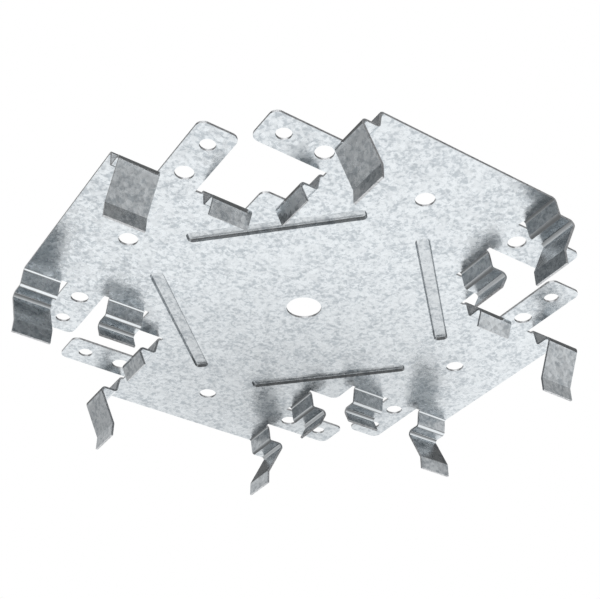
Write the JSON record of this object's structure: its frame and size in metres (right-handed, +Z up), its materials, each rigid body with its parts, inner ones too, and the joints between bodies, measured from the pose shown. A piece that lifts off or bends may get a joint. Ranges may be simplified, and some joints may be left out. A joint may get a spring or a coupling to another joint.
{
  "type": "drywall profile cross connector",
  "caption": "Flat cross of folded sheet steel with spring legs and screw tabs along each arm, which joins crossing ceiling profiles on one level.",
  "frame": {"origin": "middle of the centre hole on the underside of the sheet, the face that lies on the profiles", "axes": "+Z up, away from the legs; the four arms point along +X, -X, +Y and -Y"},
  "size_m": [0.1326, 0.1326, 0.0197],
  "materials": {
    "galvanised_steel": "hot-dip galvanised, small spangle"
  },
  "bodies": {
    "root": {"cross_connector": "galvanised_steel"}
  },
  "joints": []
}
